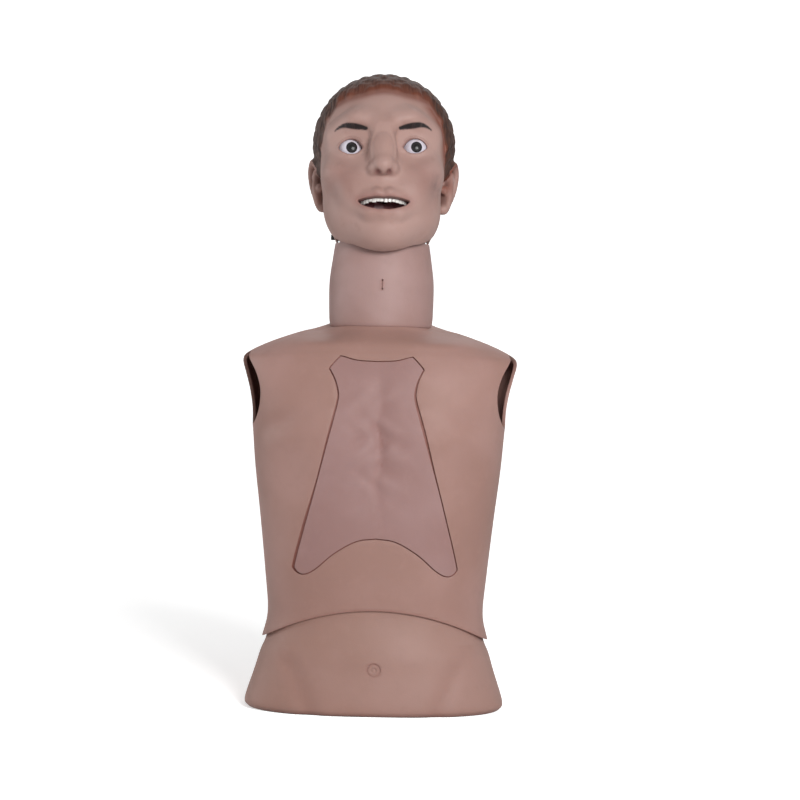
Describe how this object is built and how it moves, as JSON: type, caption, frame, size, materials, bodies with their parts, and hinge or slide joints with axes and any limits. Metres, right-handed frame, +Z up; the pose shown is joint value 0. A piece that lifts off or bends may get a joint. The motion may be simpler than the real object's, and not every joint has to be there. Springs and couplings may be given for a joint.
{
  "type": "nursing care manikin",
  "caption": "Half-body care-training manikin: nodding and turning head with open mouth, neck with stoma slit, lift-off chest plate over lungs, airway and stomach.",
  "frame": {"origin": "centre of the underside of the base plate, below the neck's axis", "axes": "+Z up along the neck's axis, the manikin faces -Y and its left side is at +X"},
  "size_m": [0.321, 0.2251, 0.7428],
  "materials": {
    "skin_vinyl": "satin",
    "plate_vinyl": "satin",
    "dark_plastic": "matte",
    "black_pin": "satin",
    "tray_plastic": "matte",
    "rubber": "matte",
    "screw_steel": "satin",
    "column_aluminium": "satin",
    "eye_glaze": "gloss",
    "tooth_glaze": "gloss",
    "tongue_rubber": "satin",
    "mouth_lining": "satin",
    "airway_rubber": "satin",
    "lung_foam": "matte",
    "stomach_rubber": "satin"
  },
  "bodies": {
    "torso": {"base_plate": "dark_plastic", "base_screw_1": "screw_steel", "base_screw_2": "screw_steel", "base_screw_3": "screw_steel", "base_screw_4": "screw_steel", "lower_body_shell": "skin_vinyl", "chest_shell": "skin_vinyl", "plate_socket_1": "rubber", "plate_socket_2": "rubber", "plate_socket_3": "rubber", "plate_socket_4": "rubber", "neck_skin": "skin_vinyl", "neck_core": "dark_plastic", "stoma_tube": "rubber", "shoulder_plate": "dark_plastic", "spine_column": "column_aluminium", "organ_tray": "tray_plastic", "trachea": "airway_rubber", "oesophagus": "airway_rubber", "larynx": "airway_rubber", "bronchi": "airway_rubber", "lung_right": "lung_foam", "lung_left": "lung_foam", "stomach": "stomach_rubber"},
    "chest_cover": {"chest_plate": "plate_vinyl"},
    "neck_swivel": {"swivel_ring": "dark_plastic", "pivot_pin_right": "black_pin", "pivot_pin_left": "black_pin"},
    "head": {"head_shell": "skin_vinyl", "eye_right": "eye_glaze", "eye_left": "eye_glaze", "mouth_lining": "mouth_lining", "upper_teeth": "tooth_glaze", "tongue": "tongue_rubber"}
  },
  "joints": [
    {"name": "chest_plate_lift", "type": "slide", "parent": "torso", "child": "chest_cover", "axis": [0, -1, 0], "range_m": [0, 0.13]},
    {"name": "head_turn", "type": "hinge", "parent": "torso", "child": "neck_swivel", "pos_m": [0, 0, 0.5475], "axis": [0, 0, 1], "range_deg": [-60, 60]},
    {"name": "head_tilt", "type": "hinge", "parent": "neck_swivel", "child": "head", "pos_m": [0, 0, 0.5475], "axis": [0.9998, 0.0175, 0], "range_deg": [-10, 15]}
  ]
}
